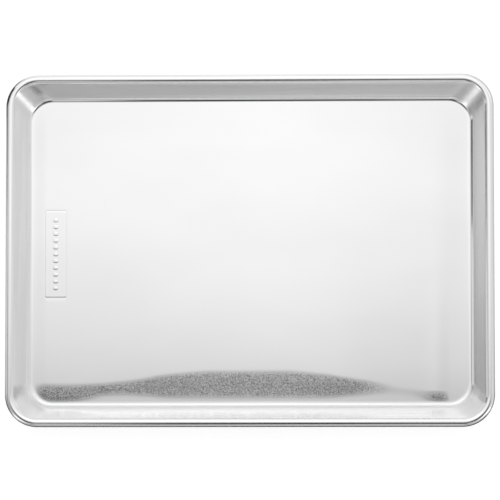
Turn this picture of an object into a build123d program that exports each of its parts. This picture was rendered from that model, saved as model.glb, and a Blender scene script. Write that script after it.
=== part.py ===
from build123d import *
import math
import os

# Jelly roll pan: one aluminium sheet, pressed to a shallow tray, with its edge rolled
# outwards round a steel wire. X runs along the pan, Y across it and Z up from the
# underside of its base, whose centre is the origin.

# Overall size, over the rolled rim
overall_length = 400.0
overall_width = 289.5
overall_height = 25.4

# The pressed sheet
sheet_thickness = 1.0
wall_lean_degrees = 25.0
base_bend_radius = 4.5
rim_corner_radius = 27.0
base_corner_radius = 20.0

# The wire and the edge rolled round it
wire_diameter = 6.2
wire_clearance = 0.1
wire_end_gap = 1.5
curl_end_degrees = -145.0

# The stamped panel at one end of the floor, raised from below
panel_length = 70.5
panel_width = 17.4
panel_corner_radius = 1.0
panel_rise = 0.4
panel_to_wall_bend = 10.1
panel_off_middle = 1.6

# Worked out from the sizes above
wall_lean = math.radians(wall_lean_degrees)
curl_inner_radius = wire_diameter / 2 + wire_clearance
curl_outer_radius = curl_inner_radius + sheet_thickness
curl_height = overall_height - curl_outer_radius
curl_start_degrees = 180 - wall_lean_degrees
mouth_height = curl_height + curl_outer_radius * math.sin(wall_lean)
mouth_inset = curl_outer_radius * (1 + math.cos(wall_lean))
wall_breadth = sheet_thickness / math.cos(wall_lean)


def wall_inset(height):
    """How far the wall's inside face stands in from the rim's outermost line."""
    return mouth_inset + (mouth_height - height) * math.tan(wall_lean)


def outline(inset, corner_radius, height):
    """A rounded rectangle, set in from the rim's outermost line."""
    length = overall_length - 2 * inset
    width = overall_width - 2 * inset
    return Pos(0, 0, height) * RectangleRounded(length, width, corner_radius)


def leaning_block(bottom_height, outward, bend_radius):
    """A solid block with the tray's leaning sides and rounded lower edge."""
    bottom = outline(wall_inset(bottom_height) - outward, base_corner_radius + outward, bottom_height)
    mouth_corner_radius = rim_corner_radius - mouth_inset
    top = outline(mouth_inset - outward, mouth_corner_radius + outward, mouth_height)
    block = loft([bottom, top], ruled=True)
    lower_edges = block.edges().group_by(Axis.Z)[0]
    return fillet(lower_edges, bend_radius)


def pressed_tray():
    """Floor and walls: the outer block less the hollow."""
    outside = leaning_block(0, wall_breadth, base_bend_radius + sheet_thickness)
    hollow = leaning_block(sheet_thickness, 0, base_bend_radius)
    return outside - hollow


def rim_path():
    """The curl's centre line, a closed ring."""
    ring = outline(curl_outer_radius, rim_corner_radius - curl_outer_radius, curl_height)
    return ring.wire()


def wire_path():
    """The wire's centre line, from midway along the near long side right round to it."""
    half_length = overall_length / 2 - curl_outer_radius
    half_width = overall_width / 2 - curl_outer_radius
    points = [
        (wire_end_gap / 2, -half_width, curl_height),
        (half_length, -half_width, curl_height),
        (half_length, half_width, curl_height),
        (-half_length, half_width, curl_height),
        (-half_length, -half_width, curl_height),
        (-wire_end_gap / 2, -half_width, curl_height),
    ]
    return FilletPolyline(*points, radius=rim_corner_radius - curl_outer_radius)


def plane_across(path):
    """The plane across the start of a path round the rim, with its X axis outwards."""
    along = path % 0
    return Plane(origin=path @ 0, x_dir=along.cross(Vector(0, 0, 1)), z_dir=-along)


def curl_section():
    """The rolled edge, cut across: a ring left open on its under side, next to the wall."""
    turn = curl_start_degrees - curl_end_degrees
    outer = CenterArc((0, 0), curl_outer_radius, curl_end_degrees, turn)
    inner = CenterArc((0, 0), curl_inner_radius, curl_end_degrees, turn)
    edge_start = Line(inner @ 0, outer @ 0)
    edge_end = Line(inner @ 1, outer @ 1)
    return make_face([outer, edge_end, inner, edge_start])


def rolled_rim():
    """The sheet's edge, rolled right round the rim."""
    path = rim_path()
    return sweep(plane_across(path) * curl_section(), path=path)


def stamped_panel(tray):
    """The tray with a plain panel pressed up from below near one end."""
    bend_breadth = base_bend_radius * math.tan((math.pi / 2 - wall_lean) / 2)
    floor_end = wall_inset(sheet_thickness) + bend_breadth - overall_length / 2
    across = floor_end + panel_to_wall_bend + panel_width / 2
    face = RectangleRounded(panel_width, panel_length, panel_corner_radius)
    block = extrude(face, amount=panel_rise)
    raised = Pos(across, -panel_off_middle, sheet_thickness) * block
    pressed_in = Pos(across, -panel_off_middle, 0) * block
    return tray + raised - pressed_in


def pan_shell():
    """The whole pressed sheet."""
    return stamped_panel(pressed_tray()) + rolled_rim()


def rim_wire():
    """The stiffening wire, its ends butted midway along the near long side."""
    path = wire_path()
    return sweep(plane_across(path) * Circle(wire_diameter / 2), path=path)


os.makedirs("parts", exist_ok=True)
export_step(pan_shell(), "parts/pan_shell.step")
export_step(rim_wire(), "parts/rim_wire.step")
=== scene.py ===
import math

import bpy
from mathutils import Matrix, Vector


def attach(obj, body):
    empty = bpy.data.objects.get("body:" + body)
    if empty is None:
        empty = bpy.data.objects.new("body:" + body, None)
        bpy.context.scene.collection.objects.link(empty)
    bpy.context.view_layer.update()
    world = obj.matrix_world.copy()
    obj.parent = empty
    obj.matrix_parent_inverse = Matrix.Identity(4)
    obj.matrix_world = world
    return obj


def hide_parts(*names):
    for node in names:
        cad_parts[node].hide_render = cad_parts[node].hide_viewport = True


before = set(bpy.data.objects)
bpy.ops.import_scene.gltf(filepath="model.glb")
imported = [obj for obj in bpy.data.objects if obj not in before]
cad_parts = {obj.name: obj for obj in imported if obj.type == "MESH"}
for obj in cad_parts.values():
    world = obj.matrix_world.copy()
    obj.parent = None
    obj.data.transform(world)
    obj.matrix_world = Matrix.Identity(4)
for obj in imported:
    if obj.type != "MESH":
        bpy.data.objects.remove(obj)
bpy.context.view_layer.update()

# The pan sheet: natural aluminium, 1 mm thick, pressed in one stroke to a shallow tray
# whose edge is rolled out and under round a wire. Its floor is crowned a little, so the
# pan rests on the ring of its base, and a shallow gutter runs along the near wall.
mm = 0.001
quarter_turn = math.pi / 2
overall_length = 400.0 * mm
overall_width = 289.5 * mm
overall_height = 25.4 * mm
sheet_thickness = 1.0 * mm
wall_lean = math.radians(25.0)
base_bend_radius = 4.5 * mm
rim_corner_radius = 27.0 * mm
base_corner_radius = 20.0 * mm
wire_diameter = 6.2 * mm
wire_clearance = 0.1 * mm
roll_end_turn = math.radians(-145.0)

# A corner is this much tighter at the wall's foot than at the base's edge
foot_corner_less = 0.12 * mm

roll_inner_radius = wire_diameter / 2 + wire_clearance
roll_outer_radius = roll_inner_radius + sheet_thickness
roll_height = overall_height - roll_outer_radius
roll_start_turn = math.pi - wall_lean
mouth_inset = roll_outer_radius * (1 + math.cos(wall_lean))
mouth_height = roll_height + roll_outer_radius * math.sin(wall_lean)
base_edge_inset = mouth_inset + (mouth_height - sheet_thickness) * math.tan(wall_lean)
bend_turn = quarter_turn - wall_lean
flat_inset = base_edge_inset + base_bend_radius * math.tan(bend_turn / 2)
wall_foot_inset = flat_inset - base_bend_radius * math.sin(bend_turn)
flat_corner_radius = base_corner_radius - (flat_inset - base_edge_inset)
corner_inset = flat_inset + flat_corner_radius
corner_half_length = overall_length / 2 - corner_inset
corner_half_width = overall_width / 2 - corner_inset
flat_half_length = overall_length / 2 - flat_inset
flat_half_width = overall_width / 2 - flat_inset

panel_width = 17.4 * mm
panel_length = 70.5 * mm
panel_corner_radius = 1.0 * mm
panel_rise = 0.2 * mm
panel_edge_reach = 0.3 * mm
panel_groove_width = 0.9 * mm
panel_groove_depth = 0.05 * mm
panel_to_wall_bend = 10.1 * mm
panel_off_middle = 1.6 * mm
panel_middle_x = panel_to_wall_bend + panel_width / 2 - flat_half_length
panel_middle_y = -panel_off_middle

bead_count = 11
bead_pitch = 5.6 * mm
bead_width = 4.6 * mm
bead_length = 3.4 * mm
bead_rise = 0.17 * mm
bead_segments = 16
bead_rings = 8

crown_rise = 0.8 * mm
crown_left_reach = 11.0 * mm
crown_right_reach = 26.0 * mm
crown_far_reach = 34.0 * mm
crown_edge_fade = 5.0 * mm
gutter_width = 28.3 * mm
gutter_start_inmost = 6.0 * mm
gutter_start_range = 10.0 * mm
gutter_quick_share = 0.12
gutter_slow_reach = 150.0 * mm

# How finely the blank is divided, with closer lines where the panel's edge is pressed
corner_floor_steps = 12
bend_steps = 10
wall_steps = 9
roll_steps = 44
roll_inside_steps = 26
outer_wall_steps = 7
corner_steps = 18
column_steps = 84
near_row_steps = 10
far_row_steps = 52
press_line_reach = 0.9 * mm
press_line_step = 0.15 * mm

# Points of the floor and the bend that come this near each other become one
merge_reach = 0.02 * mm

# The outside of the wall is as dull as the underside from this share of the way down
full_rub_share = 1 / 3

# What the blank carries at each point for the press alone
press_values = ("length_share", "width_share", "turn", "inset", "height", "corner_radius")


def evenly(first, last, steps):
    """Evenly spaced values, both ends included."""
    return [first + (last - first) * step / steps for step in range(steps + 1)]


def with_finer_lines(lines, places):
    """The lines, with closer ones each side of the places where the sheet is pressed sharply."""
    kept = [line for line in lines if all(abs(line - place) > press_line_reach for place in places)]
    finer_steps = round(2 * press_line_reach / press_line_step)
    for place in places:
        if lines[0] < place < lines[-1]:
            kept += evenly(place - press_line_reach, place + press_line_reach, finer_steps)
    return sorted(kept)


def bend_rings(turns, bend_radius, foot_radius, underneath):
    """The rings of one face of the bend between floor and wall."""
    bend_height = sheet_thickness + base_bend_radius
    rings = []
    for turn in turns:
        share = math.sin(turn) / math.sin(bend_turn)
        rings.append((
            flat_inset - bend_radius * math.sin(turn),
            bend_height - bend_radius * math.cos(turn),
            flat_corner_radius + share * (foot_radius - flat_corner_radius),
            underneath,
        ))
    return rings


def roll_rings(turns, radius):
    """The rings of one face of the rolled edge."""
    roll_corner_radius = rim_corner_radius - roll_outer_radius
    rings = []
    for turn in turns:
        rings.append((
            roll_outer_radius - radius * math.cos(turn),
            roll_height + radius * math.sin(turn),
            roll_corner_radius + radius * math.cos(turn),
            0.0,
        ))
    return rings


def wall_rings(first, last, steps):
    """The rings of a straight wall between two rings, which are left out."""
    rings = []
    for share in evenly(0, 1, steps)[1:-1]:
        rings.append(tuple(start + share * (end - start) for start, end in zip(first, last)))
    return rings


def sheet_section():
    """The sheet's section from the floor's middle out, over the roll and back underneath.

    Each ring of the sheet has its inset from the rim's outermost line, its height, its
    corner radius in plan, and how far it is on the underside, from 0 to 1.
    """
    left_edge_of_panel = flat_corner_radius - panel_to_wall_bend
    floor_lines = evenly(0, flat_corner_radius, corner_floor_steps)
    floor_lines = with_finer_lines(floor_lines, [left_edge_of_panel])
    foot_radius = base_corner_radius - foot_corner_less
    bend_turns = evenly(0, bend_turn, bend_steps)[1:]
    mouth = (mouth_inset, mouth_height, rim_corner_radius - mouth_inset, 0.0)
    rings = [(corner_inset - radius, sheet_thickness, radius, 0.0) for radius in floor_lines]
    rings += bend_rings(bend_turns, base_bend_radius, foot_radius, 0.0)
    rings += wall_rings(rings[-1], mouth, wall_steps)
    rings += roll_rings(evenly(roll_start_turn, roll_end_turn, roll_steps), roll_outer_radius)
    rings += roll_rings(evenly(roll_end_turn, roll_start_turn, roll_inside_steps), roll_inner_radius)

    outer_bend_radius = base_bend_radius + sheet_thickness
    outer_foot_radius = foot_radius + sheet_thickness * math.cos(wall_lean)
    outer_bend_turns = evenly(bend_turn, 0, bend_steps)
    outer_bend = bend_rings(outer_bend_turns, outer_bend_radius, outer_foot_radius, 1.0)
    for inset, height, radius, share in wall_rings(rings[-1], outer_bend[0], outer_wall_steps):
        rings.append((inset, height, radius, min(share / full_rub_share, 1.0)))
    rings += outer_bend
    rings += [(corner_inset - radius, 0.0, radius, 1.0) for radius in reversed(floor_lines[:-1])]
    return rings


def stations_round_the_rim(column_shares, row_shares):
    """Where the section is set, counter-clockwise from the right side's near end.

    Each station has its share of the straight length and width, and its turn.
    """
    straights = (
        [(1.0, share) for share in row_shares],
        [(share, 1.0) for share in reversed(column_shares)],
        [(-1.0, share) for share in reversed(row_shares)],
        [(share, -1.0) for share in column_shares],
    )
    stations = []
    for number, straight in enumerate(straights):
        start_turn = number * quarter_turn
        for place in straight[:-1]:
            stations.append((*place, start_turn))
        for turn in evenly(0, quarter_turn, corner_steps)[:-1]:
            stations.append((*straight[-1], start_turn + turn))
    return stations


def lengths_down_section(rings):
    """How far along the section each ring is."""
    lengths = [0.0]
    for before, after in zip(rings, rings[1:]):
        lengths.append(lengths[-1] + math.hypot(after[0] - before[0], after[1] - before[1]))
    return lengths


def lengths_round_rim(stations):
    """How far round the rim each station is, and at the end the whole lap."""
    lengths = [0.0]
    for before, after in zip(stations, stations[1:] + stations[:1]):
        run_x = abs(after[0] - before[0]) * corner_half_length
        run_y = abs(after[1] - before[1]) * corner_half_width
        turned = (after[2] - before[2]) % (2 * math.pi)
        lengths.append(lengths[-1] + run_x + run_y + turned * base_corner_radius)
    return lengths


def flat_blank(name):
    """The blank: rings of the section set at every station, with both faces of the floor."""
    columns = evenly(-corner_half_length, corner_half_length, column_steps)
    columns = with_finer_lines(columns, [panel_middle_x + panel_width / 2])
    gutter_line = gutter_width - flat_half_width
    rows = evenly(-corner_half_width, gutter_line, near_row_steps)
    rows += evenly(gutter_line, corner_half_width, far_row_steps)[1:]
    rows = with_finer_lines(rows, [panel_middle_y - panel_length / 2, panel_middle_y + panel_length / 2])
    column_shares = [column / corner_half_length for column in columns]
    row_shares = [row / corner_half_width for row in rows]
    rings = sheet_section()
    stations = stations_round_the_rim(column_shares, row_shares)
    along_rim = lengths_round_rim(stations)

    points = []
    wall_lines = []
    for ring, down_section in zip(rings, lengths_down_section(rings)):
        for station, distance in zip(stations, along_rim):
            lap = 2 * math.pi * distance / along_rim[-1]
            points.append((*station, *ring))
            wall_lines += (math.cos(lap), math.sin(lap), down_section)
    faces = []
    lap_count = len(stations)
    for ring_number in range(len(rings) - 1):
        for number in range(lap_count):
            here = ring_number * lap_count + number
            beside = ring_number * lap_count + (number + 1) % lap_count
            faces.append((here, here + lap_count, beside + lap_count, beside))

    for face_height, underneath in ((sheet_thickness, 0.0), (0.0, 1.0)):
        first = len(points)
        for row_share in row_shares:
            for column_share in column_shares:
                points.append((column_share, row_share, 0.0, corner_inset, face_height, 0.0, underneath))
                wall_lines += (0.0, 0.0, 0.0)
        in_row = len(column_shares)
        for row in range(len(row_shares) - 1):
            for column in range(in_row - 1):
                corner = first + row * in_row + column
                loop = (corner, corner + 1, corner + in_row + 1, corner + in_row)
                faces.append(loop[::-1] if underneath else loop)

    drawn = dict(zip(press_values + ("underneath",), zip(*points)))
    mesh = bpy.data.meshes.new(name)
    mesh.from_pydata(list(zip(drawn["length_share"], drawn["width_share"], drawn["height"])), [], faces)
    for attribute_name, values in drawn.items():
        mesh.attributes.new(attribute_name, "FLOAT", "POINT").data.foreach_set("value", values)
    mesh.attributes.new("wall_lines", "FLOAT_VECTOR", "POINT").data.foreach_set("vector", wall_lines)
    blank = bpy.data.objects.new(name, mesh)
    bpy.context.scene.collection.objects.link(blank)
    return blank


def new_tree(name, sizes):
    """A Geometry Nodes tree with a named input for each size."""
    tree = bpy.data.node_groups.new(name, "GeometryNodeTree")
    tree.interface.new_socket("Geometry", in_out="INPUT", socket_type="NodeSocketGeometry")
    for size_name in sizes:
        tree.interface.new_socket(size_name, in_out="INPUT", socket_type="NodeSocketFloat")
    tree.interface.new_socket("Geometry", in_out="OUTPUT", socket_type="NodeSocketGeometry")
    tree.nodes.new("NodeGroupInput").name = "sizes"
    tree.nodes.new("NodeGroupOutput").name = "result"
    return tree


def add_node(tree, kind, settings=(), **inputs):
    """A node with its settings made, and its inputs set or joined by name."""
    node = tree.nodes.new(kind)
    for setting, value in dict(settings).items():
        setattr(node, setting, value)
    for input_name, value in inputs.items():
        fill(tree, node.inputs[input_name.replace("_", " ")], value)
    return node


def fill(tree, socket, value):
    """Joins a socket to the input, or writes the plain value in it."""
    if isinstance(value, bpy.types.NodeSocket):
        tree.links.new(value, socket)
    else:
        socket.default_value = value


def calc(tree, operation, *values):
    """One step of arithmetic on sockets or numbers."""
    node = tree.nodes.new("ShaderNodeMath")
    node.operation = operation
    for socket, value in zip(node.inputs, values):
        fill(tree, socket, value)
    return node.outputs[0]


def product(tree, *factors):
    """The factors multiplied together, from first to last."""
    result = factors[0]
    for factor in factors[1:]:
        result = calc(tree, "MULTIPLY", result, factor)
    return result


def eased(tree, value, start, end, at_start, at_end, interpolation="SMOOTHSTEP"):
    """A change from one level to the other between start and end, smooth unless told otherwise."""
    node = add_node(tree, "ShaderNodeMapRange", {"interpolation_type": interpolation})
    for socket, filling in zip(node.inputs, (value, start, end, at_start, at_end)):
        fill(tree, socket, filling)
    return node.outputs[0]


def as_share(tree, place, half):
    """A place between -half and half, as a share from 0 to 1."""
    return calc(tree, "MULTIPLY_ADD", place, 0.5 / half, 0.5)


def drawn_value(tree, name):
    """A value that the blank carries at each point."""
    node = add_node(tree, "GeometryNodeInputNamedAttribute", {"data_type": "FLOAT"}, Name=name)
    return node.outputs["Attribute"]


def curve_along(tree, value, control_points):
    """A drawn curve from 0 to 1 over the value."""
    node = tree.nodes.new("ShaderNodeFloatCurve")
    fill(tree, node.inputs["Value"], value)
    curve = node.mapping.curves[0]
    for place, level in control_points[1:-1]:
        curve.points.new(place, level)
    for point, (place, level) in zip(curve.points, control_points):
        point.location = (place, level)
    node.mapping.update()
    return node.outputs[0]


def finish_tree(tree, geometry, material):
    """Realize Instances and Set Material, which end every tree."""
    real = add_node(tree, "GeometryNodeRealizeInstances", Geometry=geometry)
    finished = add_node(tree, "GeometryNodeSetMaterial", Geometry=real.outputs[0], Material=material)
    fill(tree, tree.nodes["result"].inputs[0], finished.outputs[0])


def made_by(tree, start, sizes, name):
    """The plain mesh that the tree makes of the start object."""
    modifier = start.modifiers.new(tree.name, "NODES")
    modifier.node_group = tree
    for item in tree.interface.items_tree:
        if item.in_out == "INPUT" and item.name in sizes:
            modifier[item.identifier] = sizes[item.name]
    bpy.context.view_layer.update()
    depsgraph = bpy.context.evaluated_depsgraph_get()
    mesh = bpy.data.meshes.new_from_object(start.evaluated_get(depsgraph), depsgraph=depsgraph)
    start.modifiers.remove(modifier)
    bpy.data.objects.remove(start)
    mesh.name = name
    piece = bpy.data.objects.new(name, mesh)
    bpy.context.scene.collection.objects.link(piece)
    return piece


def noise(tree, vector, scale=1.0, detail=2.0):
    """A noise pattern's level."""
    node = add_node(tree, "ShaderNodeTexNoise", Vector=vector, Scale=scale, Detail=detail)
    return node.outputs[0]


def stretched(tree, vector, scale):
    """The vector, with the pattern on it drawn out along the sheet's own lines."""
    return add_node(tree, "ShaderNodeMapping", Vector=vector, Scale=scale).outputs[0]


def mixed(tree, share, first, second, blend_type="MIX"):
    """The first colour, mixed with the second by the share."""
    node = add_node(tree, "ShaderNodeMix", {"data_type": "RGBA", "blend_type": blend_type})
    fill(tree, node.inputs["Factor"], share)
    fill(tree, node.inputs[6], first)
    fill(tree, node.inputs[7], second)
    return node.outputs[2]


def sheet_value(tree, name):
    """A value that the pressed sheet carries, read by its material."""
    return add_node(tree, "ShaderNodeAttribute", {"attribute_name": name}).outputs["Fac"]


sheet_grey = (0.925, 0.925, 0.925, 1.0)
sheet_white = (0.975, 0.975, 0.975, 1.0)
rubbed_grey = (0.62, 0.62, 0.63, 1.0)
# How much the painted shade by the far corners darkens the sheet. The shade stands for a dark reflection
corner_shade_darkness = 0.46
darkest_speckle = 0.38
least_rubbed = 0.7

# Repeats to the metre, for stretched patterns along each axis. The die's lines are laid
# round the rim and down the section instead.
cloud_repeats = (6.0, 14.0, 14.0)
die_line_repeats = (2.6, 2.6, 480.0)
rolled_line_repeats = (40.0, 1400.0, 1400.0)
peel_repeats = 700.0
grain_repeats = 1850.0

# Between which levels of a pattern, or of the strain, its effect sets in
tone_span = (0.2, 0.8)
cloud_span = (0.3, 0.7)
grain_span = (0.1, 0.7)
speckled_strain = (0.02, 0.4)
matt_strain = (0.02, 0.2)

# The sheet's roughness, what each place adds to it, and how deep each pattern is
sheet_roughness = 0.135
rolled_line_roughness = 0.04
strained_roughness = 0.135
added_roughness = {
    "in_bend": -0.09,
    "near_bend": 0.30,
    "on_wall": 0.05,
    "underneath": 0.12,
    "painted_corner_shade": 0.06,
}
full_relief = 0.03 * mm
die_line_relief = 0.15
peel_relief = 0.3
rolled_line_relief = 0.01


def satin_aluminium():
    """Mill-finish sheet: nearly white and satin, with fine lines where the die drew it.

    Where the gutter strained it the sheet is matt and speckled, and it is duller below.
    By each far corner a painted shade, standing for a dark reflection, darkens the upper wall.
    """
    material = bpy.data.materials.new("satin_aluminium")
    material.use_nodes = True
    tree = material.node_tree
    shader = tree.nodes["Principled BSDF"]
    shader.inputs["Metallic"].default_value = 1.0
    place = tree.nodes.new("ShaderNodeTexCoord").outputs["Object"]
    wall_lines = add_node(tree, "ShaderNodeAttribute", {"attribute_name": "wall_lines"}).outputs["Vector"]
    strain = sheet_value(tree, "strain")
    drawn = sheet_value(tree, "drawn")
    underneath = sheet_value(tree, "underneath")
    painted_corner_shade = sheet_value(tree, "painted_corner_shade")

    rolled_cloud = noise(tree, stretched(tree, place, cloud_repeats), detail=3.0)
    die_lines = noise(tree, stretched(tree, wall_lines, die_line_repeats))
    rolled_lines = noise(tree, stretched(tree, place, rolled_line_repeats))
    peel = noise(tree, place, peel_repeats)
    grain = add_node(tree, "ShaderNodeTexVoronoi", Vector=place, Scale=grain_repeats).outputs["Color"]
    grain_level = add_node(tree, "ShaderNodeSeparateColor", Color=grain).outputs[0]

    lines_less_cloud = calc(tree, "SUBTRACT", die_lines, rolled_cloud)
    tone_share = calc(tree, "MULTIPLY_ADD", lines_less_cloud, drawn, rolled_cloud)
    tone = mixed(tree, eased(tree, tone_share, *tone_span, 0.0, 1.0), sheet_grey, sheet_white)
    speckle = eased(tree, grain_level, *grain_span, darkest_speckle, 1.0)
    speckled = mixed(tree, eased(tree, strain, *speckled_strain, 0.0, 1.0), tone, speckle, "MULTIPLY")
    cloudy = eased(tree, rolled_cloud, *cloud_span, least_rubbed, 1.0)
    rubbed = mixed(tree, calc(tree, "MULTIPLY", underneath, cloudy), speckled, rubbed_grey)
    # The painted shade by the far corners, standing for a dark reflection, darkens the base colour here
    less_white = calc(tree, "MULTIPLY_ADD", painted_corner_shade, -corner_shade_darkness, 1.0)
    with_corner_shade = add_node(tree, "ShaderNodeVectorMath", {"operation": "SCALE"}, Scale=less_white)
    fill(tree, with_corner_shade.inputs[0], rubbed)
    fill(tree, shader.inputs["Base Color"], with_corner_shade.outputs[0])

    rough = calc(tree, "MULTIPLY_ADD", rolled_lines, rolled_line_roughness, sheet_roughness)
    rough = calc(tree, "ADD", rough, eased(tree, strain, *matt_strain, 0.0, strained_roughness))
    for place_name, added in added_roughness.items():
        rough = calc(tree, "MULTIPLY_ADD", sheet_value(tree, place_name), added, rough)
    fill(tree, shader.inputs["Roughness"], rough)

    lines_height = calc(tree, "MULTIPLY", calc(tree, "SUBTRACT", die_lines, 0.5), drawn)
    peel_height = product(tree, calc(tree, "SUBTRACT", peel, 0.5), strain, peel_relief)
    sheet_height = calc(tree, "MULTIPLY_ADD", rolled_lines, rolled_line_relief, peel_height)
    surface_height = calc(tree, "MULTIPLY_ADD", lines_height, die_line_relief, sheet_height)
    bump = add_node(tree, "ShaderNodeBump", Strength=1.0, Distance=full_relief, Height=surface_height)
    fill(tree, shader.inputs["Normal"], bump.outputs[0])
    return material


def place_in_plan(tree, overall, share_name, turning):
    """How far along or across the pan the press puts each point."""
    radius = drawn_value(tree, "corner_radius")
    half = calc(tree, "MULTIPLY", overall, 0.5)
    straight = calc(tree, "SUBTRACT", calc(tree, "SUBTRACT", half, drawn_value(tree, "inset")), radius)
    to_corner = calc(tree, "MULTIPLY", straight, drawn_value(tree, share_name))
    return calc(tree, "MULTIPLY_ADD", radius, calc(tree, turning, drawn_value(tree, "turn")), to_corner)


def near_gutter(tree, sizes, along, from_near):
    """The gutter's strength along the near wall, the steep rise out of it, and the crown there."""
    place_along = as_share(tree, along, flat_half_length)
    gutter_share = curve_along(tree, place_along, (
        (0.0, 0.83), (0.04, 0.83), (0.11, 0.69), (0.19, 0.48), (0.25, 0.70), (0.32, 0.98),
        (0.68, 0.98), (0.74, 0.64), (0.80, 0.18), (0.84, 0.07), (0.88, 0.08), (0.905, 0.19),
        (0.92, 0.45), (0.932, 0.58), (0.943, 0.27), (0.953, 0.02), (1.0, 0.0),
    ))
    gutter_breadth = curve_along(tree, place_along, (
        (0.0, 0.63), (0.10, 0.58), (0.16, 0.60), (0.20, 0.66), (0.25, 0.74), (0.32, 0.90), (0.5, 1.04),
        (0.65, 0.92), (0.73, 0.75), (0.78, 0.67), (0.86, 0.46), (0.90, 0.38), (0.94, 0.35), (1.0, 0.3),
    ))
    under_bend = curve_along(tree, place_along, (
        (0.0, 0.95), (0.06, 0.90), (0.10, 0.65), (0.14, 0.28), (0.18, 0.08), (0.25, 0.12), (0.32, 0.30),
        (0.66, 0.32), (0.73, 0.14), (0.80, 0.06), (0.85, 0.12), (0.90, 0.5), (0.94, 0.86), (1.0, 0.86),
    ))
    gutter_reach = calc(tree, "MULTIPLY", gutter_breadth, sizes["Gutter width"])
    gutter_start = calc(tree, "MULTIPLY_ADD", under_bend, -gutter_start_range, gutter_start_inmost)
    rounded = eased(tree, from_near, gutter_start, gutter_reach, 0.0, 1.0)
    even = eased(tree, from_near, gutter_start, gutter_reach, 0.0, 1.0, "LINEAR")
    still_to_rise = calc(tree, "POWER", calc(tree, "SUBTRACT", 1.0, even), 2.0)
    quick = calc(tree, "SUBTRACT", 1.0, still_to_rise)
    quicker = calc(tree, "MULTIPLY", calc(tree, "SUBTRACT", quick, rounded), gutter_quick_share)
    steep = calc(tree, "ADD", rounded, quicker)
    gentle = eased(tree, from_near, 0.0, sizes["Gutter slow reach"], 0.0, 1.0)
    near_crown = calc(tree, "MULTIPLY_ADD", gutter_share, calc(tree, "SUBTRACT", steep, gentle), gentle)
    return gutter_share, steep, near_crown


def crowned_floor(tree, sizes, along, across):
    """The height that the crown adds, and how much the gutter's slope strains the sheet."""
    from_left = calc(tree, "ADD", flat_half_length, along)
    from_right = calc(tree, "SUBTRACT", flat_half_length, along)
    from_far = calc(tree, "SUBTRACT", flat_half_width, across)
    from_near = calc(tree, "ADD", flat_half_width, across)
    left_crown = eased(tree, from_left, 0.0, sizes["Crown left reach"], 0.0, 1.0)
    right_crown = eased(tree, from_right, 0.0, sizes["Crown right reach"], 0.0, 1.0)
    far_crown = eased(tree, from_far, 0.0, sizes["Crown far reach"], 0.0, 1.0)
    side_crown = calc(tree, "MULTIPLY", left_crown, right_crown)
    gutter_share, steep, near_crown = near_gutter(tree, sizes, along, from_near)
    radius = drawn_value(tree, "corner_radius")
    on_floor = eased(tree, radius, flat_corner_radius - crown_edge_fade, flat_corner_radius, 1.0, 0.0)
    crown = product(tree, side_crown, far_crown, near_crown, on_floor, sizes["Crown rise"])
    full_at_half = 4.0
    on_slope = product(tree, steep, calc(tree, "SUBTRACT", 1.0, steep), full_at_half)
    in_gutter = product(tree, on_slope, gutter_share, on_floor, side_crown)
    return crown, in_gutter


def stamped_panel(tree, sizes, along, across, top_face):
    """The height that the panel adds, less the groove round it on the top face."""
    corner_radius = sizes["Panel corner radius"]

    def beyond_panel(place, middle, size):
        offset = calc(tree, "ABSOLUTE", calc(tree, "SUBTRACT", place, middle))
        half = calc(tree, "MULTIPLY_ADD", size, 0.5, calc(tree, "MULTIPLY", corner_radius, -1.0))
        return calc(tree, "SUBTRACT", offset, half)

    beyond_side = beyond_panel(along, sizes["Panel middle X"], sizes["Panel width"])
    beyond_end = beyond_panel(across, sizes["Panel middle Y"], sizes["Panel length"])
    outside_side = calc(tree, "MAXIMUM", beyond_side, 0.0)
    outside_end = calc(tree, "MAXIMUM", beyond_end, 0.0)
    side_squared = calc(tree, "POWER", outside_side, 2.0)
    outside = calc(tree, "SQRT", calc(tree, "MULTIPLY_ADD", outside_end, outside_end, side_squared))
    inside = calc(tree, "MINIMUM", calc(tree, "MAXIMUM", beyond_side, beyond_end), 0.0)
    from_panel_edge = calc(tree, "SUBTRACT", calc(tree, "ADD", outside, inside), corner_radius)
    inner_edge = calc(tree, "MULTIPLY", sizes["Panel edge reach"], -1.0)
    on_panel = eased(tree, from_panel_edge, inner_edge, 0.0, 1.0, 0.0)
    panel = calc(tree, "MULTIPLY", on_panel, sizes["Panel rise"])
    half_groove = calc(tree, "MULTIPLY", sizes["Groove width"], 0.5)
    off_groove = calc(tree, "ABSOLUTE", calc(tree, "SUBTRACT", from_panel_edge, half_groove))
    groove = eased(tree, off_groove, 0.0, half_groove, sizes["Groove depth"], 0.0)
    return calc(tree, "SUBTRACT", panel, calc(tree, "MULTIPLY", groove, top_face))


# The strain in a wall beside the gutter's, and over what breadth one finish turns into the next
wall_strain = 0.09
finish_fade = 1.0 * mm
near_bend_fade = 0.35 * flat_corner_radius

# A painted shade, standing for a dark reflection, runs up the wall by each far corner. It is placed in
# radians past the corner's start and in height, and the right one is half as strong
corner_shade_turn = 0.28
corner_shade_reach = 0.24
corner_shade_foot = 7.0 * mm
corner_shade_head = 14.0 * mm
right_corner_shade = 0.5


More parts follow.
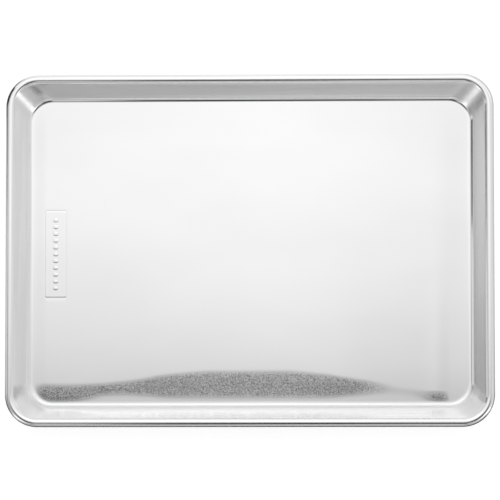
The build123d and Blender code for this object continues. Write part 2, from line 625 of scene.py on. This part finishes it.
def press_marks_and_shade(tree, along, across, in_gutter, top_face):
    """What the material needs to know of each point: where it is, what the press did to it, and where the
    painted corner shade lies.
    """
    inset = drawn_value(tree, "inset")
    radius = drawn_value(tree, "corner_radius")
    drawn_metal = eased(tree, radius, flat_corner_radius, flat_corner_radius + finish_fade, 0.0, 1.0)
    past_mouth = eased(tree, inset, mouth_inset, mouth_inset + finish_fade, 0.0, 1.0)
    above_foot = eased(tree, inset, wall_foot_inset - finish_fade, wall_foot_inset, 1.0, 0.0)
    on_wall = calc(tree, "MULTIPLY", past_mouth, above_foot)
    gutter_strain = calc(tree, "MULTIPLY", in_gutter, top_face)
    strain = calc(tree, "MAXIMUM", gutter_strain, calc(tree, "MULTIPLY", on_wall, wall_strain))
    in_bend = calc(tree, "MULTIPLY", drawn_metal, calc(tree, "SUBTRACT", 1.0, above_foot))
    near_line = -corner_half_width
    near_side = eased(tree, across, near_line - near_bend_fade, near_line, 1.0, 0.0)
    near_bend = product(tree, in_bend, near_side, top_face)

    # Where the painted shade by each far corner lies. The shade stands for a dark reflection
    past_start = calc(tree, "MODULO", drawn_value(tree, "turn"), quarter_turn)
    off_corner_shade = calc(tree, "ABSOLUTE", calc(tree, "SUBTRACT", past_start, corner_shade_turn))
    at_corner_shade = eased(tree, off_corner_shade, 0.0, corner_shade_reach, 1.0, 0.0)
    high_up = eased(tree, drawn_value(tree, "height"), corner_shade_foot, corner_shade_head, 0.0, 1.0)
    on_left = calc(tree, "LESS_THAN", along, 0.0)
    corner_shade_strength = calc(tree, "MULTIPLY_ADD", on_left, 1 - right_corner_shade, right_corner_shade)
    far_corner_shade_strength = calc(tree, "MULTIPLY", corner_shade_strength, calc(tree, "GREATER_THAN", across, 0.0))
    painted_corner_shade = product(tree, on_wall, top_face, high_up, at_corner_shade, far_corner_shade_strength)
    return {
        "strain": strain,
        "drawn": drawn_metal,
        "on_wall": on_wall,
        "in_bend": in_bend,
        "near_bend": near_bend,
        "painted_corner_shade": painted_corner_shade,
    }


def row_of_beads(tree, sizes, pressed_sheet):
    """Plain oval beads in a row on the panel, each seated where the sheet's top is."""
    to_first = -0.5 * (bead_count - 1)
    first_y = calc(tree, "MULTIPLY_ADD", sizes["Bead pitch"], to_first, sizes["Panel middle Y"])
    above_sheet = 10.0 * mm
    first = add_node(tree, "ShaderNodeCombineXYZ", X=sizes["Panel middle X"], Y=first_y, Z=above_sheet)
    step = add_node(tree, "ShaderNodeCombineXYZ", Y=sizes["Bead pitch"])
    row = add_node(
        tree, "GeometryNodeMeshLine",
        Count=bead_count, Start_Location=first.outputs[0], Offset=step.outputs[0],
    )
    seat = add_node(
        tree, "GeometryNodeRaycast", Target_Geometry=pressed_sheet,
        Ray_Direction=(0.0, 0.0, -1.0), Ray_Length=2 * above_sheet,
    )
    seated = add_node(
        tree, "GeometryNodeSetPosition",
        Geometry=row.outputs[0], Position=seat.outputs["Hit Position"],
    )
    half_width = calc(tree, "MULTIPLY", sizes["Bead width"], 0.5)
    half_length = calc(tree, "MULTIPLY", sizes["Bead length"], 0.5)
    bead_size = add_node(tree, "ShaderNodeCombineXYZ", X=half_width, Y=half_length, Z=sizes["Bead rise"])
    bead = add_node(
        tree, "GeometryNodeMeshUVSphere", Segments=bead_segments, Rings=bead_rings, Radius=1.0,
    )
    beads = add_node(
        tree, "GeometryNodeInstanceOnPoints",
        Points=seated.outputs[0], Instance=bead.outputs[0], Scale=bead_size.outputs[0],
    )
    return add_node(tree, "GeometryNodeRealizeInstances", Geometry=beads.outputs[0]).outputs[0]


def press(material, size_names):
    """The tree that presses the blank: plan, crowned floor, gutter, stamped panel and beads."""
    tree = new_tree("press_pan_sheet", size_names)
    sizes = tree.nodes["sizes"].outputs
    along = place_in_plan(tree, sizes["Overall length"], "length_share", "COSINE")
    across = place_in_plan(tree, sizes["Overall width"], "width_share", "SINE")
    top_face = calc(tree, "SUBTRACT", 1.0, drawn_value(tree, "underneath"))
    crown, in_gutter = crowned_floor(tree, sizes, along, across)
    panel = stamped_panel(tree, sizes, along, across, top_face)
    height = calc(tree, "ADD", calc(tree, "ADD", drawn_value(tree, "height"), crown), panel)
    pressed_place = add_node(tree, "ShaderNodeCombineXYZ", X=along, Y=across, Z=height)
    sheet = add_node(
        tree, "GeometryNodeSetPosition",
        Geometry=sizes["Geometry"], Position=pressed_place.outputs[0],
    ).outputs[0]
    for stored_name, stored_value in press_marks_and_shade(tree, along, across, in_gutter, top_face).items():
        sheet = add_node(
            tree, "GeometryNodeStoreNamedAttribute", {"data_type": "FLOAT", "domain": "POINT"},
            Geometry=sheet, Name=stored_name, Value=stored_value,
        ).outputs[0]
    merged = add_node(tree, "GeometryNodeMergeByDistance", Geometry=sheet, Distance=merge_reach)
    stamped = add_node(tree, "GeometryNodeJoinGeometry")
    fill(tree, stamped.inputs[0], row_of_beads(tree, sizes, merged.outputs[0]))
    fill(tree, stamped.inputs[0], merged.outputs[0])
    smooth = add_node(tree, "GeometryNodeSetShadeSmooth", Geometry=stamped.outputs[0])
    finish_tree(tree, smooth.outputs[0], material)
    return tree


pan_sizes = {
    "Overall length": overall_length,
    "Overall width": overall_width,
    "Crown rise": crown_rise,
    "Crown left reach": crown_left_reach,
    "Crown right reach": crown_right_reach,
    "Crown far reach": crown_far_reach,
    "Gutter width": gutter_width,
    "Gutter slow reach": gutter_slow_reach,
    "Panel middle X": panel_middle_x,
    "Panel middle Y": panel_middle_y,
    "Panel width": panel_width,
    "Panel length": panel_length,
    "Panel corner radius": panel_corner_radius,
    "Panel rise": panel_rise,
    "Panel edge reach": panel_edge_reach,
    "Groove width": panel_groove_width,
    "Groove depth": panel_groove_depth,
    "Bead pitch": bead_pitch,
    "Bead width": bead_width,
    "Bead length": bead_length,
    "Bead rise": bead_rise,
}
pan_press = press(satin_aluminium(), pan_sizes)
pan_sheet = made_by(pan_press, flat_blank("pan_blank"), pan_sizes, "pan_sheet")
for spent in press_values:
    pan_sheet.data.attributes.remove(pan_sheet.data.attributes[spent])
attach(pan_sheet, "root")
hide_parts("pan_shell")

# The stiffening wire: galvanised steel, bent to the rim's rounded rectangle and laid in
# the roll before it is closed. Its two ends butt midway along the near long side.
wire_corner_radius = rim_corner_radius - roll_outer_radius
wire_end_gap = 1.5 * mm
wire_half_length = overall_length / 2 - roll_outer_radius
wire_half_width = overall_width / 2 - roll_outer_radius
wire_corner_steps = 20
wire_round_steps = 20
sharp_edge_turn = math.radians(50)

zinc_dark = (0.50, 0.51, 0.53, 1.0)
zinc_light = (0.66, 0.67, 0.69, 1.0)
zinc_roughness = 0.32
spangle_roughness = 0.2
spangle_repeats = 260.0
zinc_skin_repeats = 1500.0
zinc_skin_relief = 0.02 * mm
zinc_skin_strength = 0.4


def galvanised_steel():
    """Grey zinc with a soft spangle and a faintly uneven skin."""
    material = bpy.data.materials.new("galvanised_steel")
    material.use_nodes = True
    tree = material.node_tree
    shader = tree.nodes["Principled BSDF"]
    shader.inputs["Metallic"].default_value = 1.0
    place = tree.nodes.new("ShaderNodeTexCoord").outputs["Object"]
    spangle = noise(tree, place, spangle_repeats, detail=3.0)
    fill(tree, shader.inputs["Base Color"], mixed(tree, spangle, zinc_dark, zinc_light))
    rough = calc(tree, "MULTIPLY_ADD", spangle, spangle_roughness, zinc_roughness)
    fill(tree, shader.inputs["Roughness"], rough)
    bump = add_node(
        tree, "ShaderNodeBump", Strength=zinc_skin_strength, Distance=zinc_skin_relief,
        Height=noise(tree, place, zinc_skin_repeats),
    )
    fill(tree, shader.inputs["Normal"], bump.outputs[0])
    return material


def bend_wire(material, size_names):
    """The tree that rounds the wire's corners and gives it its thickness."""
    tree = new_tree("bend_rim_wire", size_names)
    sizes = tree.nodes["sizes"].outputs
    rounded = add_node(
        tree, "GeometryNodeFilletCurve", {"mode": "POLY"}, Curve=sizes["Geometry"],
        Radius=sizes["Corner radius"], Count=wire_corner_steps, Limit_Radius=True,
    )
    ring = add_node(
        tree, "GeometryNodeCurvePrimitiveCircle",
        Resolution=wire_round_steps, Radius=sizes["Wire radius"],
    )
    tube = add_node(
        tree, "GeometryNodeCurveToMesh",
        Curve=rounded.outputs[0], Profile_Curve=ring.outputs[0], Fill_Caps=True,
    )
    smooth = add_node(tree, "GeometryNodeSetShadeSmooth", Geometry=tube.outputs[0])
    finish_tree(tree, smooth.outputs[0], material)
    return tree


def straight_wire(name):
    """The wire's line before its corners are rounded, end to end round the rim."""
    line = bpy.data.curves.new(name, "CURVE")
    line.dimensions = "3D"
    spline = line.splines.new("POLY")
    bends = (
        (wire_end_gap / 2, -wire_half_width),
        (wire_half_length, -wire_half_width),
        (wire_half_length, wire_half_width),
        (-wire_half_length, wire_half_width),
        (-wire_half_length, -wire_half_width),
        (-wire_end_gap / 2, -wire_half_width),
    )
    spline.points.add(len(bends) - 1)
    for point, (along, across) in zip(spline.points, bends):
        point.co = (along, across, roll_height, 1.0)
    wire = bpy.data.objects.new(name, line)
    bpy.context.scene.collection.objects.link(wire)
    return wire


wire_sizes = {
    "Wire radius": wire_diameter / 2,
    "Corner radius": wire_corner_radius,
}
wire_bender = bend_wire(galvanised_steel(), wire_sizes)
rim_wire = made_by(wire_bender, straight_wire("wire_line"), wire_sizes, "rim_wire_bent")
rim_wire.data.set_sharp_from_angle(angle=sharp_edge_turn)
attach(rim_wire, "root")
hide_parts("rim_wire")

# The studio: a wide pale floor under a box tent of white cloth, with a dark gap in its
# roof for the camera. A dark stand at the left, a low flag of cloth round the pan and a
# black card by its far left corner show in the metal, but not to the camera.
floor_half = 6.0
floor_grey = (0.50, 0.50, 0.50, 1.0)
floor_roughness = 0.9
floor_glow = 0.75
white = (1.0, 1.0, 1.0, 1.0)
tent_half = 1.9
tent_height = 1.0
brightest_cloth = 2.0


def studio_sheet(name, points, faces, material):
    """A sheet of the studio, which isn't part of the pan."""
    mesh = bpy.data.meshes.new(name)
    mesh.from_pydata(points, [], faces)
    mesh.materials.append(material)
    sheet = bpy.data.objects.new(name, mesh)
    bpy.context.scene.collection.objects.link(sheet)
    return sheet


def flat_sheet(name, corners, material):
    """A flat four-cornered sheet of the studio."""
    return studio_sheet(name, corners, [(0, 1, 2, 3)], material)


def only_in_reflections(sheet):
    """The camera doesn't see the sheet, and it throws no shadow."""
    sheet.visible_camera = False
    sheet.visible_shadow = False


def upright_sheet(name, first, last, bottom, top, material):
    """A sheet on edge between two places in plan, seen only in reflections."""
    corners = [(*first, bottom), (*last, bottom), (*last, top), (*first, top)]
    sheet = flat_sheet(name, corners, material)
    only_in_reflections(sheet)
    return sheet


def pale_floor():
    """Matt board that glows, so it comes out white and still takes shade. It is open from below."""
    material = bpy.data.materials.new("pale_studio_floor")
    material.use_nodes = True
    tree = material.node_tree
    board = tree.nodes["Principled BSDF"]
    board.inputs["Base Color"].default_value = floor_grey
    board.inputs["Roughness"].default_value = floor_roughness
    board.inputs["Specular IOR Level"].default_value = 0.0
    board.inputs["Emission Color"].default_value = white
    board.inputs["Emission Strength"].default_value = floor_glow
    open_below = tree.nodes.new("ShaderNodeBsdfTransparent")
    seen_side = tree.nodes.new("ShaderNodeMixShader")
    fill(tree, seen_side.inputs[0], tree.nodes.new("ShaderNodeNewGeometry").outputs["Backfacing"])
    fill(tree, seen_side.inputs[1], board.outputs[0])
    fill(tree, seen_side.inputs[2], open_below.outputs[0])
    fill(tree, tree.nodes["Material Output"].inputs["Surface"], seen_side.outputs[0])
    return material


def lit_cloth(name):
    """A material that only glows. Its level is filled in by the caller."""
    material = bpy.data.materials.new(name)
    material.use_nodes = True
    tree = material.node_tree
    tree.nodes.remove(tree.nodes["Principled BSDF"])
    glow = tree.nodes.new("ShaderNodeEmission")
    fill(tree, tree.nodes["Material Output"].inputs["Surface"], glow.outputs[0])
    return material, glow.inputs["Strength"]


def parts_of_place(tree):
    """The X, Y and Z of each point of a sheet, in metres."""
    place = tree.nodes.new("ShaderNodeTexCoord").outputs["Object"]
    return add_node(tree, "ShaderNodeSeparateXYZ", Vector=place).outputs


def level_along(tree, place, levels, brightest):
    """The cloth's level along one axis of the tent. A curve holds 1 at most, so it is scaled."""
    points = [(0.5 + spot / (2 * tent_half), level / brightest) for spot, level in levels]
    curve = curve_along(tree, as_share(tree, place, tent_half), points)
    return calc(tree, "MULTIPLY", curve, brightest)


def roof_cloth():
    """The roof: brightest over the far half, dark at the gap, grey over the stands."""
    material, strength = lit_cloth("roof_cloth")
    tree = material.node_tree
    parts = parts_of_place(tree)
    near_to_far = level_along(tree, parts["Y"], (
        (-1.9, 0.75), (-0.9, 0.66), (-0.3, 0.70), (-0.12, 0.76), (-0.05, 0.81), (0.02, 0.90), (0.1, 0.98),
        (0.2, 1.02), (0.3, 0.99), (0.5, 1.0), (0.7, 1.08), (0.95, 1.12), (1.25, 0.86), (1.9, 0.86),
    ), brightest_cloth)
    left_to_right = level_along(tree, parts["X"], (
        (-1.9, 0.88), (-0.7, 0.88), (-0.3, 0.93), (-0.1, 0.99), (0.0, 1.0), (0.1, 0.97),
        (0.2, 0.92), (0.35, 0.87), (0.7, 0.80), (0.85, 0.80), (1.1, 0.94), (1.9, 0.86),
    ), 1.0)
    level = calc(tree, "MULTIPLY", near_to_far, left_to_right)
    patches = (
        # middle X and Y, half breadths along X and Y, softness of the edge, level
        (0.0, -0.30, 0.5, 0.17, 0.05, 0.40),
        (0.0, -0.215, 0.5, 0.09, 0.04, 0.135),
        (-0.035, -0.715, 0.172, 0.325, 0.05, 0.01),
        (0.0, -1.60, 0.9, 0.45, 0.12, 0.63),
        (-0.60, -1.55, 0.42, 0.50, 0.2, 0.44),
        (0.43, -1.38, 0.13, 0.25, 0.06, 0.22),
        (-0.50, -1.31, 0.12, 0.25, 0.06, 0.20),
        (1.12, -0.85, 0.34, 0.28, 0.18, 1.45),
        (-0.90, -0.88, 0.24, 0.20, 0.12, 1.5),
        (-0.48, -0.42, 0.17, 0.24, 0.06, 0.03),
        (0.46, -0.42, 0.17, 0.24, 0.06, 0.03),
        (0.235, -0.70, 0.10, 0.26, 0.05, 0.02),
        (-0.03, 0.64, 0.42, 0.15, 0.14, 1.9),
        (1.32, 0.22, 0.42, 0.28, 0.25, 0.68),
        (-1.32, -0.20, 0.42, 0.37, 0.25, 0.25),
        (-1.32, 0.45, 0.42, 0.30, 0.25, 0.47),
        (0.38, 1.0, 0.27, 0.5, 0.1, 1.02),
    )
    for middle_x, middle_y, half_x, half_y, softness, patch_level in patches:
        off_x = calc(tree, "ABSOLUTE", calc(tree, "SUBTRACT", parts["X"], middle_x))
        off_y = calc(tree, "ABSOLUTE", calc(tree, "SUBTRACT", parts["Y"], middle_y))
        within_x = eased(tree, off_x, half_x - softness, half_x + softness, 1.0, 0.0)
        within_y = eased(tree, off_y, half_y - softness, half_y + softness, 1.0, 0.0)
        within = calc(tree, "MULTIPLY", within_x, within_y)
        level = calc(tree, "MULTIPLY_ADD", within, calc(tree, "SUBTRACT", patch_level, level), level)
    fill(tree, strength, level)
    return material


def side_cloth(name, axis, levels):
    """A side of the tent, whose level changes along it."""
    material, strength = lit_cloth(name)
    tree = material.node_tree
    place = parts_of_place(tree)[axis]
    fill(tree, strength, level_along(tree, place, levels, brightest_cloth))
    return material


def plain_cloth(name, level):
    """Cloth of one level."""
    material, strength = lit_cloth(name)
    strength.default_value = level
    return material


flat_sheet("studio_floor", [
    (-floor_half, -floor_half, 0.0),
    (floor_half, -floor_half, 0.0),
    (floor_half, floor_half, 0.0),
    (-floor_half, floor_half, 0.0),
], pale_floor())
only_in_reflections(flat_sheet("tent_roof", [
    (-tent_half, -tent_half, tent_height),
    (-tent_half, tent_half, tent_height),
    (tent_half, tent_half, tent_height),
    (tent_half, -tent_half, tent_height),
], roof_cloth()))
tent_sides = (
    # name, the side's two ends, the axis along it, levels along it
    ("tent_far_side", (tent_half, tent_half), (-tent_half, tent_half), "X", (
        (-1.9, 0.75), (-1.0, 0.82), (-0.5, 0.9), (0.5, 0.9), (1.0, 0.82), (1.9, 0.8),
    )),
    ("tent_left_side", (-tent_half, tent_half), (-tent_half, -tent_half), "Y", (
        (-1.9, 1.2), (-1.6, 1.3), (-1.4, 0.95), (-1.15, 0.6), (-1.0, 0.4), (-0.75, 0.32),
        (-0.2, 0.46), (-0.05, 0.66), (0.2, 0.72), (0.8, 0.72), (1.9, 0.6),
    )),
    ("tent_near_side", (-tent_half, -tent_half), (tent_half, -tent_half), "X", (
        (-1.9, 1.2), (-1.6, 0.95), (-1.4, 0.68), (-1.1, 0.50), (-0.55, 0.44), (-0.25, 0.47),
        (0.1, 0.46), (0.35, 0.45), (0.6, 0.42), (1.45, 0.48), (1.9, 0.5),
    )),
    ("tent_right_side", (tent_half, -tent_half), (tent_half, tent_half), "Y", (
        (-1.9, 0.45), (-1.5, 0.6), (-1.36, 1.05), (-1.2, 1.4), (-1.02, 1.4), (-0.8, 1.05),
        (-0.5, 0.75), (0.0, 0.66), (0.5, 0.72), (1.9, 0.72),
    )),
)
for side_name, first, last, axis, levels in tent_sides:
    upright_sheet(side_name, first, last, 0.0, tent_height, side_cloth(side_name, axis, levels))

stand_far_end = (-1.85, 0.75)
stand_near_end = (-1.85, 0.19)
stand_bottom = 0.12
stand_top = 0.85
stand_level = 0.05
stand_cloth = plain_cloth("left_stand", stand_level)
upright_sheet("left_stand", stand_far_end, stand_near_end, stand_bottom, stand_top, stand_cloth)

flag_beyond_rim = 45.0 * mm
flag_height = 28.0 * mm
flag_corner_steps = 12


def flag_cloth():
    """The low flag's cloth, whose level changes with the bearing from the pan's middle.

    It is black on the near side and at the far left corner, grey at the ends, pale behind.
    """
    material, strength = lit_cloth("flag_cloth")
    tree = material.node_tree
    parts = parts_of_place(tree)
    bearing = calc(tree, "ARCTAN2", parts["Y"], parts["X"])
    fill(tree, strength, curve_along(tree, as_share(tree, bearing, math.pi), (
        (0.0, 0.48), (0.06, 0.40), (0.09, 0.05), (0.25, 0.03), (0.40, 0.03), (0.44, 0.35), (0.5, 0.5),
        (0.60, 0.5), (0.65, 0.8), (0.88, 0.8), (0.895, 0.02), (0.915, 0.02), (0.932, 0.34), (0.95, 0.48),
        (1.0, 0.48),
    )))
    return material


def low_flag(name, material):
    """An upright band of cloth that follows the rim at a distance."""
    corner = rim_corner_radius + flag_beyond_rim
    to_corner_x = overall_length / 2 + flag_beyond_rim - corner
    to_corner_y = overall_width / 2 + flag_beyond_rim - corner
    line = []
    for number in range(4):
        start_turn = number * quarter_turn
        middle_turn = start_turn + quarter_turn / 2
        corner_x = math.copysign(to_corner_x, math.cos(middle_turn))
        corner_y = math.copysign(to_corner_y, math.sin(middle_turn))
        for turn in evenly(start_turn, start_turn + quarter_turn, flag_corner_steps):
            line.append((corner_x + corner * math.cos(turn), corner_y + corner * math.sin(turn)))
    points = [(x, y, z) for z in (0.0, flag_height) for x, y in line]
    count = len(line)
    faces = [(n, (n + 1) % count, (n + 1) % count + count, n + count) for n in range(count)]
    sheet = studio_sheet(name, points, faces, material)
    only_in_reflections(sheet)
    return sheet


card_near_end = (-0.243, 0.130)
card_far_end = (-0.228, 0.165)
card_bottom = 26.0 * mm
card_top = 60.0 * mm
card_level = 0.02
card_cloth = plain_cloth("corner_card", card_level)
corner_card = upright_sheet("corner_card", card_near_end, card_far_end, card_bottom, card_top, card_cloth)

# These two stand close to the pan and leave the floor's own light alone
for close_sheet in (low_flag("low_flag", flag_cloth()), corner_card):
    close_sheet.visible_diffuse = False

world = bpy.data.worlds.new("white_room")
bpy.context.scene.world = world
world.use_nodes = True
world.node_tree.nodes["Background"].inputs["Color"].default_value = white
world.node_tree.nodes["Background"].inputs["Strength"].default_value = 1.0
bpy.context.scene.view_settings.view_transform = "Standard"

# The camera: a long lens, 3 m up, a few degrees towards the near side and the right. It
# is shifted by about two pixels, so that the pan lies where it should in the frame.
camera_distance = 3.0
camera_reach = 100.0
camera_south = math.radians(4.17)
camera_east = math.radians(1.98)
frame_breadth = 0.4108
sensor_breadth = 36.0
frame_pixels = 500.0
pixels_right = 0.38
pixels_down = 2.11

camera_data = bpy.data.cameras.new("camera")
camera_data.sensor_width = sensor_breadth
camera_data.lens = sensor_breadth * camera_distance / frame_breadth
camera_data.shift_x = -pixels_right / frame_pixels
camera_data.shift_y = pixels_down / frame_pixels
camera_data.clip_end = camera_reach
camera = bpy.data.objects.new("camera", camera_data)
bpy.context.scene.collection.objects.link(camera)
away = Vector((math.tan(camera_east), -math.tan(camera_south), 1.0)).normalized()
upwards = (Vector((0.0, 1.0, 0.0)) - away * away.y).normalized()
sideways = upwards.cross(away)
camera.location = away * camera_distance
camera.rotation_euler = Matrix((sideways, upwards, away)).transposed().to_euler()
bpy.context.scene.camera = camera
